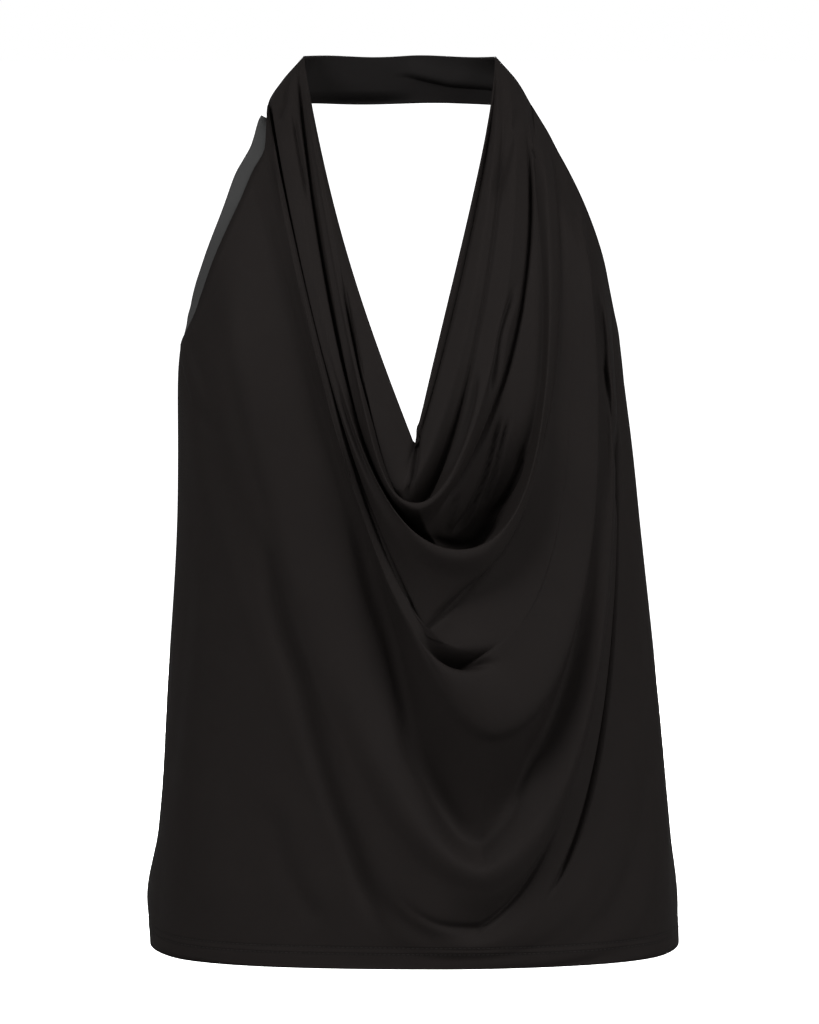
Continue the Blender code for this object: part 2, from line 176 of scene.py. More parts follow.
# Finer creases on the panel, each along a path of (x, z) points seen from the front.  `first`
# and `last` name the fold rows whose cloth it marks, `depth` is how deep the trough is, `width`
# its half width and `swell` how much of its depth swells up beside it.
Crease = namedtuple("Crease", "first last depth width swell path")
CREASES = (
    Crease("neckline edge", "first swag", 5.0, 2.0, 0.0,
           ((12, -232), (10, -250), (8, -266), (5, -284))),
    Crease("first swag", "second swag's underside", 2.2, 3.5, 0.2,
           ((84, -17), (78, -38), (71, -60), (66, -84))),
    Crease("first swag", "second swag", 2.5, 1.6, 0.3,
           ((51, -195), (50, -212), (42, -240), (31, -265))),
    Crease("second swag", "inside of the pocket", 3.5, 1.7, 0.3,
           ((79, -139), (70, -167), (66, -190), (61, -213))),
    Crease("second swag's underside", "pocket floor", 4.5, 1.4, 0.3,
           ((69, -222), (63, -248), (57, -269), (49, -288), (41, -300), (31, -309))),
    Crease("second swag's underside", "pocket floor", 4.0, 1.3, 0.3,
           ((74, -226), (68, -248), (64, -265), (59, -279), (54, -290))),
    Crease("second swag's underside", "pocket floor", 3.0, 1.5, 0.2,
           ((84, -244), (82, -262), (75, -277), (66, -289), (57, -300))),
    Crease("second swag's underside", "pocket floor", 2.4, 1.5, 0.3,
           ((40, -279), (35, -293), (31, -309))),
    Crease("inside of the pocket", "pocket floor", 3.5, 3.5, 0.0,
           ((8, -293), (24, -309), (38, -316), (52, -314), (62, -304), (69, -292))),
    Crease("second swag's underside", "third swag's face", 3.0, 1.5, 0.2,
           ((-74, -22), (-71, -38), (-67, -56), (-62, -80))),
    Crease("second swag's underside", "fourth swag", 2.6, 1.7, 0.5,
           ((-70, 9), (-78, 1), (-80, -6), (-80, -13), (-82, -20), (-84, -28))),
    Crease("fourth swag's rim", "fifth swag", 3.0, 6.0, 0.2,
           ((-33, -276), (-19, -338), (-5, -380), (3, -419), (7, -450), (18, -472), (34, -500),
            (45, -515), (57, -518))),
    Crease("fourth swag's underside", "fifth swag", 1.5, 3.5, 0.2,
           ((45, -516), (57, -518), (70, -506), (77, -495), (85, -471), (95, -437))),
    Crease("fourth valley", "sixth swag", 2.5, 1.4, 0.3,
           ((137, -179), (142, -205), (146, -232), (150, -262), (150, -300))),
    Crease("fourth valley", "hem", 4.0, 6.0, 0.5,
           ((-96, -296), (-89, -330), (-81, -371), (-69, -405), (-59, -446), (-47, -487),
            (-34, -521), (-21, -560), (-6, -590))),
    Crease("fifth valley", "hem", 1.4, 8.0, 0.5,
           ((-88, -489), (-82, -524), (-70, -553), (-51, -578))),
    Crease("fifth valley", "hem", 1.6, 6.0, 0.2,
           ((-144, -314), (-148, -384), (-155, -441), (-165, -513))),
)

# How densely the cloth is run: columns along each arm, crowded toward the low points, and rows
# from fold to fold.  Near the sides the folds flatten and the cloth settles onto its cut edge.
ARM_COLUMNS = 75
ARM_SAMPLES = 600
TURN_CROWDING = 1.35
ROW_STEP = 2.0
LEAST_ROWS = 7
MOST_ROWS = 15
SIDE_FADE = 0.14
SETTLING_COLUMNS = 10
# How softly grooves and creases start and end, where the swell beside a crease lies, and how
# often the directions they are pressed in are averaged
GROOVE_START_FADE = 0.08
GROOVE_STOP_FADE = 0.16
CREASE_FADE = 0.18
CREASE_ROW_FADE = 0.6
SWELL_PLACE = 2.2
SWELL_WIDTH = 1.6
PRESSING_ROUNDS = 2
# The inner face lies a wall's thickness in along averaged directions, and it is eased where a step
# along it is shorter than a share of the outer one
INNER_ROUNDS = 3
EASING_ROUNDS = 14
TIGHTEST_BEND = 0.3


def smooth_read(rows, column, heights):
    """Reads one column of a table by height, on a smooth curve through its rows."""
    z = np.array([row.height for row in rows][::-1], dtype=float)
    v = np.array([getattr(row, column) for row in rows][::-1], dtype=float)
    slope = np.gradient(v, z)
    h = np.clip(np.asarray(heights, dtype=float), z[0], z[-1])
    i = np.clip(np.searchsorted(z, h) - 1, 0, len(z) - 2)
    span = z[i + 1] - z[i]
    t = (h - z[i]) / span
    rise = t * t * (3 - 2 * t)
    return (v[i] * (1 - rise) + v[i + 1] * rise
            + span * (slope[i] * t * (1 - t) ** 2 - slope[i + 1] * t * t * (1 - t)))


def smoothstep(t):
    """Rises softly from 0 to 1 as t does, and stays level beyond."""
    t = np.clip(t, 0.0, 1.0)
    return t * t * (3 - 2 * t)


def edge_x(side, height):
    """Where the panel's side lies: cut edge above the underarm, side seam below it."""
    seam = smooth_read(FIGURE, "lean", height) + side * smooth_read(FIGURE, "half_width", height)
    cut = smooth_read(CUTS, "left" if side < 0 else "right", height)
    return np.where(np.asarray(height) > UNDERARM, cut, seam)


def on_front(x, z, out):
    """Puts a point seen from the front onto the front half of the figure, `out` beyond it."""
    half = smooth_read(FIGURE, "half_width", z) + out
    across = np.clip(np.abs(x - smooth_read(FIGURE, "lean", z)) / half, 0.0, 1.0)
    depth = (smooth_read(FIGURE, "front", z) + out) * (1 - across ** ROUNDNESS) ** (1 / ROUNDNESS)
    return np.stack([x, smooth_read(FIGURE, "centre", z) - depth, z], axis=-1)


def arm_points(side, end, corner, rise, turn, low_x, low_z, out_arm, out_low, reach, tuck):
    """One arm of a fold line, densely, from its low point up to its end."""
    s = np.linspace(0.0, 1.0, ARM_SAMPLES)
    low_part, corner_part, end_part = (1 - s) ** 2, 2 * turn * s * (1 - s), s ** 2
    total = low_part + corner_part + end_part
    x = (low_part * low_x + corner_part * corner + end_part * float(edge_x(side, end))) / total
    z = (low_part * low_z + corner_part * (low_z + rise) + end_part * end) / total
    run = np.concatenate([[0], np.cumsum(np.hypot(np.diff(x), np.diff(z)))])
    run /= run[-1]
    out = out_low + (out_arm - out_low) * smoothstep(run / reach)
    tucked = 1 - smoothstep(run / (tuck.left if side < 0 else tuck.right))
    out -= tuck.depth * tucked
    z -= tuck.sag * tucked
    out *= smoothstep((1 - run) / SIDE_FADE)
    return on_front(x, z, out)


def read_along(points, fractions):
    """Points at given fractions of a line's length."""
    run = np.concatenate([[0], np.cumsum(np.linalg.norm(np.diff(points, axis=0), axis=1))])
    run /= run[-1]
    return np.stack([np.interp(fractions, run, points[:, k]) for k in range(3)], axis=-1)


def fold_line(fold):
    """A whole fold line from its left end to its right end, closer together at the turn."""
    fractions = (np.arange(ARM_COLUMNS + 1) / ARM_COLUMNS) ** TURN_CROWDING
    tuck = ([tuck for tuck in TUCKS if tuck.fold == fold.name] + [Tuck("", 0, 0, 1, 1)])[0]
    left = arm_points(-1, fold.left_end, fold.left_corner, fold.left_rise, fold.left_turn,
                      fold.low_x, fold.low_z, fold.out_left, fold.out_low, fold.reach, tuck)
    right = arm_points(1, fold.right_end, fold.right_corner, fold.right_rise, fold.right_turn,
                       fold.low_x, fold.low_z, fold.out_right, fold.out_low, fold.reach, tuck)
    return np.concatenate([read_along(left, fractions)[::-1], read_along(right, fractions)[1:]])


def loft(lines, creases):
    """Runs the cloth from line to line, bending it sharply at creases and nowhere overshooting."""
    lines = [2 * lines[0] - lines[1]] + list(lines) + [2 * lines[-1] - lines[-2]]
    rows, place = [], []
    for k, (a, b, c, d) in enumerate(zip(lines, lines[1:], lines[2:], lines[3:])):
        gap_ab, gap_bc, gap_cd = [np.sqrt(np.linalg.norm(q - p, axis=1, keepdims=True)) + 1e-6
                                  for p, q in ((a, b), (b, c), (c, d))]
        tangent_b = (b - a) / gap_ab - (c - a) / (gap_ab + gap_bc) + (c - b) / gap_bc
        tangent_c = (c - b) / gap_bc - (d - b) / (gap_bc + gap_cd) + (d - c) / gap_cd
        tangent_b = tangent_b * gap_bc * (1 - creases[k])
        tangent_c = tangent_c * gap_bc * (1 - creases[k + 1])
        count = int(np.clip(round(float(np.max(gap_bc ** 2)) / ROW_STEP), LEAST_ROWS, MOST_ROWS))
        for t in np.arange(count) / count:
            rows.append((2 * t ** 3 - 3 * t ** 2 + 1) * b + (t ** 3 - 2 * t ** 2 + t) * tangent_b
                        + (3 * t ** 2 - 2 * t ** 3) * c + (t ** 3 - t ** 2) * tangent_c)
            place.append(k + t)
    rows.append(lines[-2])
    place.append(float(len(lines) - 3))
    return np.array(rows), np.array(place)


def grid_normals(grid):
    """The outward direction at each point of a grid of cloth."""
    across = np.gradient(grid, axis=1)
    down = np.gradient(grid, axis=0)
    normals = np.cross(down, across)
    return normals / (np.linalg.norm(normals, axis=2, keepdims=True) + 1e-9)


def smoothed(field, rounds):
    """Averages a grid with its neighbours, keeping its border."""
    for _ in range(rounds):
        eased = field.copy()
        eased[1:-1] = (field[:-2] + 2 * field[1:-1] + field[2:]) / 4
        field = eased.copy()
        field[:, 1:-1] = (eased[:, :-2] + 2 * eased[:, 1:-1] + eased[:, 2:]) / 4
    return field


def along_path(x, z, path):
    """Distance from a path, which side of it, and how far along it, for a grid of points."""
    path = np.array(path, dtype=float)
    lengths = np.linalg.norm(np.diff(path, axis=0), axis=1)
    nearest = np.full(x.shape, np.inf)
    side, share, run = np.zeros(x.shape), np.zeros(x.shape), 0.0
    for start, step, length in zip(path[:-1], np.diff(path, axis=0), lengths):
        t = np.clip(((x - start[0]) * step[0] + (z - start[1]) * step[1]) / length ** 2, 0, 1)
        dx, dz = x - start[0] - t * step[0], z - start[1] - t * step[1]
        distance = np.hypot(dx, dz)
        closer = distance < nearest
        nearest = np.where(closer, distance, nearest)
        side = np.where(closer, np.sign(step[0] * dz - step[1] * dx), side)
        share = np.where(closer, (run + t * length) / lengths.sum(), share)
        run += length
    return nearest, side, share


def curve_through(points, steps=12):
    """A smooth path through a few points."""
    points = np.array(points, dtype=float)
    if len(points) < 3:
        return points
    ends = np.concatenate([[2 * points[0] - points[1]], points, [2 * points[-1] - points[-2]]])
    path = []
    for a, b, c, d in zip(ends, ends[1:], ends[2:], ends[3:]):
        for t in np.arange(steps) / steps:
            path.append(0.5 * (2 * b + (c - a) * t + (2 * a - 5 * b + 4 * c - d) * t ** 2
                               + (3 * b - a - 3 * c + d) * t ** 3))
    path.append(points[-1])
    return np.array(path)


def crease_push(grid, crease):
    """How far one crease moves each point of a grid outward: a trough with a swell beside it."""
    distance, side, share = along_path(grid[:, :, 0], grid[:, :, 2], curve_through(crease.path))
    fade = smoothstep(share / CREASE_FADE) * smoothstep((1 - share) / CREASE_FADE)
    trough = np.exp(-(distance / crease.width) ** 2)
    swell = np.exp(-((distance * side / crease.width - SWELL_PLACE) / SWELL_WIDTH) ** 2)
    return crease.depth * fade * (crease.swell * swell - trough)


def creased(grid, place):
    """Presses the grooves and the fine creases into the cloth along its own normals."""
    names = [fold.name for fold in FOLDS]
    normals = smoothed(grid_normals(grid), PRESSING_ROUNDS)
    push = np.zeros(grid.shape[:2])
    across = np.cumsum(np.linalg.norm(np.diff(grid, axis=0, prepend=grid[:1]), axis=2), axis=0)
    arm = np.arange(-ARM_COLUMNS, ARM_COLUMNS + 1) / ARM_COLUMNS
    arm = np.sign(arm) * np.abs(arm) ** TURN_CROWDING
    for groove in GROOVES:
        row = int(np.argmin(np.abs(place - names.index(groove.fold))))
        distance = across - across[row] - groove.aside
        share = arm * groove.side
        fade = (smoothstep((share - groove.start) / GROOVE_START_FADE + 0.5)
                * smoothstep((groove.stop - share) / GROOVE_STOP_FADE + 0.5))
        push -= groove.depth * fade * np.exp(-(distance / groove.width) ** 2)
    for crease in CREASES:
        first, last = names.index(crease.first), names.index(crease.last)
        rows = (smoothstep((place - first) / CREASE_ROW_FADE + 1)
                * smoothstep((last - place) / CREASE_ROW_FADE + 1))
        push += crease_push(grid, crease) * rows[:, None]
    return grid + normals * push[:, :, None]


def inner_face(outer, wall):
    """The wall's inner points, eased where a fold bends tighter than the cloth is thick."""
    normals = smoothed(grid_normals(outer), INNER_ROUNDS)
    normals /= np.linalg.norm(normals, axis=2, keepdims=True)
    inner = outer - normals * wall
    for _ in range(EASING_ROUNDS):
        for axis in (0, 1):
            shifted_in, shifted_out = np.moveaxis(inner, axis, 0), np.moveaxis(outer, axis, 0)
            steps = np.diff(shifted_out, axis=0)
            forward = (np.sum(np.diff(shifted_in, axis=0) * steps, axis=2)
                       / (np.sum(steps ** 2, axis=2) + 1e-12))
            tight = np.zeros(shifted_out.shape[:2], dtype=bool)
            tight[:-1] |= forward < TIGHTEST_BEND
            tight[1:] |= forward < TIGHTEST_BEND
            tight[[0, -1]] = False
            eased = shifted_in.copy()
            eased[1:-1] = (shifted_in[:-2] + shifted_in[1:-1] + shifted_in[2:]) / 3
            inner = np.moveaxis(np.where(tight[:, :, None], eased, shifted_in), 0, axis)
    return inner


def cloth_piece(name, outer, inner):
    """Closes a grid of outer and inner points into a cloth wall with a UV map in metres."""
    rows, columns = outer.shape[:2]
    points = np.concatenate([outer.reshape(-1, 3), inner.reshape(-1, 3)]) * MM
    layer = rows * columns
    index = np.arange(layer).reshape(rows, columns)
    a, b, c, d = index[:-1, :-1], index[1:, :-1], index[1:, 1:], index[:-1, 1:]
    outside = np.stack([a, b, c, d], axis=-1).reshape(-1, 4)
    inside = np.stack([a, d, c, b], axis=-1).reshape(-1, 4) + layer
    rim = np.concatenate([index[0], index[1:, -1], index[-1, -2::-1], index[-2:0:-1, 0]])
    after = np.roll(rim, -1)
    border = np.stack([rim, after, after + layer, rim + layer], axis=-1)
    faces = np.concatenate([outside, inside, border])
    mesh = bpy.data.meshes.new(name)
    mesh.from_pydata(points.tolist(), [], faces.tolist())
    across = np.cumsum(np.linalg.norm(np.diff(outer, axis=1, prepend=outer[:, :1]), axis=2), axis=1)
    across -= across[:, columns // 2, None]
    down = np.cumsum(np.linalg.norm(np.diff(outer, axis=0, prepend=outer[:1]), axis=2), axis=0)
    uv = np.stack([across, down], axis=-1).reshape(-1, 2) * MM
    uv = np.concatenate([uv, uv])
    loops = np.empty(len(mesh.loops), dtype=np.int32)
    mesh.loops.foreach_get("vertex_index", loops)
    mesh.uv_layers.new(name="cloth").data.foreach_set("uv", uv[loops].ravel())
    mesh.shade_smooth()
    piece = bpy.data.objects.new(name, mesh)
    bpy.context.collection.objects.link(piece)
    return piece


front_lines = [fold_line(fold) for fold in FOLDS]
front, front_place = loft(front_lines, [fold.crease for fold in FOLDS])
front = creased(front, front_place)
for column, side in ((0, -1), (-1, 1)):
    heights = front[:, column, 2]
    shift = on_front(edge_x(side, heights), heights, 0.0) - front[:, column]
    for away in range(SETTLING_COLUMNS):
        front[:, column - side * away] += shift * (1 - away / SETTLING_COLUMNS)
hem_share = smoothstep((HEM + HEM_ALLOWANCE - front[:, :, 2]) / HEM_STEP + 0.5)
front += grid_normals(front) * (HEM_LIFT * hem_share)[:, :, None]
front[:, :, 2] = np.maximum(front[:, :, 2], HEM)
front_inner = inner_face(front, WALL)
front_piece = cloth_piece("front_panel_cloth", front, front_inner)


# The hem is held by a twin-needle machine: two rows of short stitches, heights above the edge
STITCH_ROWS = (10.5, 15.0)
STITCH_PITCH = 3.2
STITCH_LENGTH = 2.5
STITCH_DIP = 1.3
THREAD_THICKNESS = 0.5
THREAD_COLOUR = (0.0150, 0.0132, 0.0125, 1.0)
THREAD_PAINTED_SHADE = (0.0075, 0.0065, 0.0062, 1.0)
PLIES_PER_METRE = 900.0

# The jersey: its colour, its gauge, how uneven it is, and how strongly its loops, its fuzz and the
# dips along the stitching show in height, painted shade and roughness.  A height of 1 is BUMP_DEPTH
# metres.
JERSEY_COLOUR = (0.0078, 0.0064, 0.0060, 1.0)
LOOPS_PER_METRE = 1500.0
BIAS = 45.0
UNEVENNESS = 0.16
PATCHES_PER_METRE = 38.0
LOOP_LEAN = 1.4
RIDGE_HEIGHT = 0.3
LOOP_HEIGHT = 0.25
LOOP_PAINTED_SHADE = 0.10
FUZZ_PER_METRE = 900.0
FUZZ_HEIGHT = 0.5
FUZZ_ROUGHNESS = 0.12
ROUGHNESS = 0.68
DIP_DEPTH = 3.0
DIP_PAINTED_SHADE = 0.35
BUMP_STRENGTH = 0.35
BUMP_DEPTH = 0.00015


def knit_group():
    """The face of fine jersey: rows of small loops, a soft unevenness and a little lint, with painted
    shade on the loops and along the hem's stitching dips.
    """
    group = bpy.data.node_groups.new("jersey_knit", "ShaderNodeTree")
    for name, kind, value in (("Colour", "NodeSocketColor", (0.01, 0.01, 0.01, 1)),
                              ("Loops per metre", "NodeSocketFloat", LOOPS_PER_METRE),
                              ("Unevenness", "NodeSocketFloat", UNEVENNESS),
                              ("Hem dip", "NodeSocketFloat", 0.0)):
        socket = group.interface.new_socket(name=name, in_out="INPUT", socket_type=kind)
        socket.default_value = value
    for name, kind in (("Colour", "NodeSocketColor"), ("Roughness", "NodeSocketFloat"),
                       ("Height", "NodeSocketFloat")):
        group.interface.new_socket(name=name, in_out="OUTPUT", socket_type=kind)
    nodes, links = group.nodes, group.links
    inputs, outputs = nodes.new("NodeGroupInput"), nodes.new("NodeGroupOutput")
    uv = nodes.new("ShaderNodeUVMap")
    uv.uv_map = "cloth"
    turn = nodes.new("ShaderNodeMapping")
    turn.inputs["Rotation"].default_value = (0, 0, math.radians(BIAS))
    links.new(uv.outputs["UV"], turn.inputs["Vector"])
    split = nodes.new("ShaderNodeSeparateXYZ")
    links.new(turn.outputs["Vector"], split.inputs["Vector"])

    def math_node(operation, a, b=None, c=None):
        node = nodes.new("ShaderNodeMath")
        node.operation = operation
        for socket, value in zip(node.inputs, (a, b, c)):
            if value is None:
                continue
            if isinstance(value, (int, float)):
                socket.default_value = value
            else:
                links.new(value, socket)
        return node.outputs[0]

    # Each wale is a column of V-shaped loops: a rounded ridge whose courses lean both ways
    wale = math_node("MULTIPLY", split.outputs["X"], inputs.outputs["Loops per metre"])
    course = math_node("MULTIPLY", split.outputs["Y"], inputs.outputs["Loops per metre"])
    lean = math_node("PINGPONG", wale, 0.5)
    leaned = math_node("ADD", course, math_node("MULTIPLY", lean, LOOP_LEAN))
    ridge = math_node("SINE", math_node("MULTIPLY", wale, 2 * math.pi))
    loop = math_node("SINE", math_node("MULTIPLY", leaned, 2 * math.pi))
    knit = math_node("MULTIPLY_ADD", ridge, RIDGE_HEIGHT, math_node("MULTIPLY", loop, LOOP_HEIGHT))
    place = nodes.new("ShaderNodeTexCoord")
    patches = nodes.new("ShaderNodeTexNoise")
    patches.inputs["Scale"].default_value = PATCHES_PER_METRE
    patches.inputs["Detail"].default_value = 5.0
    links.new(place.outputs["Object"], patches.inputs["Vector"])
    fuzz = nodes.new("ShaderNodeTexNoise")
    fuzz.inputs["Scale"].default_value = FUZZ_PER_METRE
    fuzz.inputs["Detail"].default_value = 2.0
    links.new(place.outputs["Object"], fuzz.inputs["Vector"])
    height = math_node("MULTIPLY_ADD", fuzz.outputs["Fac"], FUZZ_HEIGHT, knit)

    # Two rows of stitching pull the hem in along narrow dips, whose colour is darkened as painted shade
    spot = nodes.new("ShaderNodeSeparateXYZ")
    links.new(place.outputs["Object"], spot.inputs["Vector"])
    above_hem = math_node("MULTIPLY_ADD", spot.outputs["Z"], 1 / MM, -HEM)
    from_rows = [math_node("ABSOLUTE", math_node("SUBTRACT", above_hem, row)) for row in STITCH_ROWS]
    nearest_row = math_node("DIVIDE", math_node("MINIMUM", *from_rows), STITCH_DIP)
    dip = math_node("SUBTRACT", 1.0, math_node("SMOOTH_MIN", nearest_row, 1.0, 0.2))
    dip = math_node("MULTIPLY", dip, inputs.outputs["Hem dip"])
    links.new(math_node("MULTIPLY_ADD", dip, -DIP_DEPTH, height), outputs.inputs["Height"])
    uneven = math_node("MULTIPLY_ADD", math_node("SUBTRACT", patches.outputs["Fac"], 0.5),
                       inputs.outputs["Unevenness"], 1.0)
    # Painted shade: the colour is lighter on the loops' ridges, darker in their hollows and darker
    # along the stitching dips, over the random unevenness
    tone_and_painted_shade = math_node("MULTIPLY_ADD", knit, LOOP_PAINTED_SHADE, uneven)
    tone_and_painted_shade = math_node("MULTIPLY_ADD", dip, -DIP_PAINTED_SHADE, tone_and_painted_shade)
    tinted = nodes.new("ShaderNodeVectorMath")
    tinted.operation = "SCALE"
    links.new(inputs.outputs["Colour"], tinted.inputs["Vector"])
    links.new(tone_and_painted_shade, tinted.inputs["Scale"])
    links.new(tinted.outputs["Vector"], outputs.inputs["Colour"])
    rough = math_node("MULTIPLY_ADD", fuzz.outputs["Fac"], FUZZ_ROUGHNESS, ROUGHNESS)
    links.new(rough, outputs.inputs["Roughness"])
    return group


jersey_knit = knit_group()


def jersey(name, colour, unevenness=UNEVENNESS, hem_dip=0.0, sheen=0.0):
    """Viscose jersey: matt, with the soft sheen of its fine fibres at a glancing angle."""
    material = bpy.data.materials.new(name)
    material.use_nodes = True
    nodes, links = material.node_tree.nodes, material.node_tree.links
    surface = nodes["Principled BSDF"]
    knit = nodes.new("ShaderNodeGroup")
    knit.node_tree = jersey_knit
    knit.inputs["Colour"].default_value = colour
    knit.inputs["Loops per metre"].default_value = LOOPS_PER_METRE
    knit.inputs["Unevenness"].default_value = unevenness
    knit.inputs["Hem dip"].default_value = hem_dip
    bump = nodes.new("ShaderNodeBump")
    bump.inputs["Strength"].default_value = BUMP_STRENGTH
    bump.inputs["Distance"].default_value = BUMP_DEPTH
    links.new(knit.outputs["Height"], bump.inputs["Height"])
    links.new(knit.outputs["Colour"], surface.inputs["Base Color"])
    links.new(knit.outputs["Roughness"], surface.inputs["Roughness"])
    links.new(bump.outputs["Normal"], surface.inputs["Normal"])
    surface.inputs["Specular IOR Level"].default_value = 0.05
    surface.inputs["Sheen Weight"].default_value = sheen
    surface.inputs["Sheen Roughness"].default_value = 0.5
    surface.inputs["Sheen Tint"].default_value = (0.9, 0.88, 0.86, 1.0)
    return material


front_piece.data.materials.append(jersey("black_jersey", JERSEY_COLOUR, hem_dip=1.0))
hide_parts("front_panel")
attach(front_piece, "root")


def hem_line(grid, height):
    """The points of the cloth that lie a given height above the hem, from side to side."""
    points = []
    for column in np.moveaxis(grid, 1, 0):
        upward = column[::-1]
        upward = upward[:np.argmax(upward[:, 2] > HEM + 2 * HEM_ALLOWANCE) + 1]
        points.append([np.interp(HEM + height, upward[:, 2], upward[:, k]) for k in range(3)])
    return np.array(points)


def stitching_tree():
    """Lays a short rounded stitch at each pitch along a line."""
    tree = bpy.data.node_groups.new("twin_needle_stitching", "GeometryNodeTree")
    sockets = tree.interface
    sockets.new_socket(name="Lines", in_out="INPUT", socket_type="NodeSocketGeometry")
    for name in ("Pitch", "Length", "Thickness"):
        sockets.new_socket(name=name, in_out="INPUT", socket_type="NodeSocketFloat")
    sockets.new_socket(name="Thread", in_out="INPUT", socket_type="NodeSocketMaterial")
    sockets.new_socket(name="Stitches", in_out="OUTPUT", socket_type="NodeSocketGeometry")
    nodes, links = tree.nodes, tree.links
    inputs, outputs = nodes.new("NodeGroupInput"), nodes.new("NodeGroupOutput")
    line = nodes.new("GeometryNodeMeshToCurve")
    spaced = nodes.new("GeometryNodeResampleCurve")
    spaced.mode = "LENGTH"
    stitch = nodes.new("GeometryNodeMeshUVSphere")
    stitch.inputs["Segments"].default_value = 6
    stitch.inputs["Rings"].default_value = 4
    stitch.inputs["Radius"].default_value = 0.5
    tangent = nodes.new("GeometryNodeInputTangent")
    turned = nodes.new("FunctionNodeAlignRotationToVector")
    turned.axis = "Z"
    size = nodes.new("ShaderNodeCombineXYZ")
    laid = nodes.new("GeometryNodeInstanceOnPoints")
    real = nodes.new("GeometryNodeRealizeInstances")
    dyed = nodes.new("GeometryNodeSetMaterial")
    links.new(inputs.outputs["Lines"], line.inputs["Mesh"])
    links.new(line.outputs["Curve"], spaced.inputs["Curve"])
    links.new(inputs.outputs["Pitch"], spaced.inputs["Length"])
    links.new(spaced.outputs["Curve"], laid.inputs["Points"])
    links.new(stitch.outputs["Mesh"], laid.inputs["Instance"])
    links.new(tangent.outputs["Tangent"], turned.inputs["Vector"])
    links.new(turned.outputs["Rotation"], laid.inputs["Rotation"])
    for axis, name in (("X", "Thickness"), ("Y", "Thickness"), ("Z", "Length")):
        links.new(inputs.outputs[name], size.inputs[axis])
    links.new(size.outputs["Vector"], laid.inputs["Scale"])
    links.new(laid.outputs["Instances"], real.inputs["Geometry"])
    links.new(real.outputs["Geometry"], dyed.inputs["Geometry"])
    links.new(inputs.outputs["Thread"], dyed.inputs["Material"])
    links.new(dyed.outputs["Geometry"], outputs.inputs["Stitches"])
    return tree


def hem_thread():
    """Spun polyester thread: two plies twisted together, a little glossier than the jersey, with
    painted shade in diagonal bands along the twist.
    """
    material = bpy.data.materials.new("black_thread")
    material.use_nodes = True
    nodes, links = material.node_tree.nodes, material.node_tree.links
    surface = nodes["Principled BSDF"]
    place = nodes.new("ShaderNodeTexCoord")
    plies = nodes.new("ShaderNodeTexWave")
    plies.wave_type = "BANDS"
    plies.bands_direction = "DIAGONAL"
    plies.inputs["Scale"].default_value = PLIES_PER_METRE
    links.new(place.outputs["Object"], plies.inputs["Vector"])
    # Painted shade: darker diagonal bands stand for the grooves between the twisted plies
    tint = nodes.new("ShaderNodeMix")
    tint.data_type = "RGBA"
    tint.inputs["A"].default_value = THREAD_PAINTED_SHADE
    tint.inputs["B"].default_value = THREAD_COLOUR
    links.new(plies.outputs["Fac"], tint.inputs["Factor"])
    links.new(tint.outputs["Result"], surface.inputs["Base Color"])
    surface.inputs["Roughness"].default_value = 0.6
    surface.inputs["Specular IOR Level"].default_value = 0.08
    return material


stitching = stitching_tree()
thread = hem_thread()


def hem_stitches(name, grid):
    """Sews both rows along the hem of one panel, as one plain mesh."""
    lines = [hem_line(grid, row) * MM for row in STITCH_ROWS]
    columns = len(lines[0])
    mesh = bpy.data.meshes.new(name + "_lines")
    edges = [(row * columns + k, row * columns + k + 1)
             for row in range(len(STITCH_ROWS)) for k in range(columns - 1)]
    mesh.from_pydata(np.concatenate(lines).tolist(), edges, [])
    piece = bpy.data.objects.new(name, mesh)
    bpy.context.collection.objects.link(piece)
    sewn = piece.modifiers.new("stitching", "NODES")
    sewn.node_group = stitching
    values = {"Pitch": STITCH_PITCH * MM, "Length": STITCH_LENGTH * MM,
              "Thickness": THREAD_THICKNESS * MM, "Thread": thread}
    for socket in stitching.interface.items_tree:
        if socket.name in values:
            sewn[socket.identifier] = values[socket.name]
    graph = bpy.context.evaluated_depsgraph_get()
    stitches = bpy.data.meshes.new_from_object(piece.evaluated_get(graph))
    piece.modifiers.clear()
    piece.data = stitches
    stitches.name = name
    stitches.shade_smooth()
    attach(piece, "root")
    return piece


front_stitches = hem_stitches("front_hem_stitches", front)

# ---------------------------------------------------------------------------------------------
# Back panel
# A low panel of the same jersey, scooped from underarm to underarm, with the same turned hem.
# It hangs in a few soft waves from the side seams.
# ---------------------------------------------------------------------------------------------
BACK_NECK_DIP = 150.0
SCOOP_SHARPNESS = 1.4
WAVE_DEPTH = 3.5
WAVES_ROUND = 6
WAVE_START = 0.6
BACK_COLUMNS = 150
BACK_ROWS = 100
# Soft folds that fall from the scoop to the hem, and drag lines from the underarms, each along a
# path of (x, z) points as the front's creases are
BackFold = namedtuple("BackFold", "depth width swell path")
BACK_FOLDS = (
    BackFold(4.0, 9.0, 0.6, ((-128, -250), (-116, -320), (-110, -410), (-118, -500), (-124, -620))),
    BackFold(3.4, 8.0, 0.7, ((-74, -285), (-60, -350), (-54, -440), (-62, -540), (-64, -620))),
    BackFold(2.6, 9.0, 0.6, ((-10, -330), (2, -400), (0, -480), (8, -560), (8, -630))),
    BackFold(3.8, 8.0, 0.7, ((60, -300), (52, -360), (58, -450), (72, -540), (78, -620))),
    BackFold(4.4, 10.0, 0.6, ((134, -245), (124, -310), (120, -400), (130, -490), (138, -620))),
    BackFold(2.2, 5.0, 0.5, ((-152, -200), (-130, -240), (-92, -285), (-50, -312))),
    BackFold(2.0, 5.0, 0.5, ((154, -205), (134, -246), (98, -292), (56, -318))),
    BackFold(1.8, 6.0, 0.4, ((-40, -352), (-4, -362), (38, -356), (72, -340))),
)


def on_back(angle, z, out):
    """A point of the back half of the figure, from the right side (0) round to the left (pi)."""
    half = smooth_read(FIGURE, "half_width", z) + out
    depth = smooth_read(FIGURE, "back", z) + out
    power = 2 / ROUNDNESS
    x = half * np.sign(np.cos(angle)) * np.abs(np.cos(angle)) ** power
    y = depth * np.abs(np.sin(angle)) ** power
    return np.stack([smooth_read(FIGURE, "lean", z) + x,
                     smooth_read(FIGURE, "centre", z) - SEAM_OVERLAP + y, z], axis=-1)


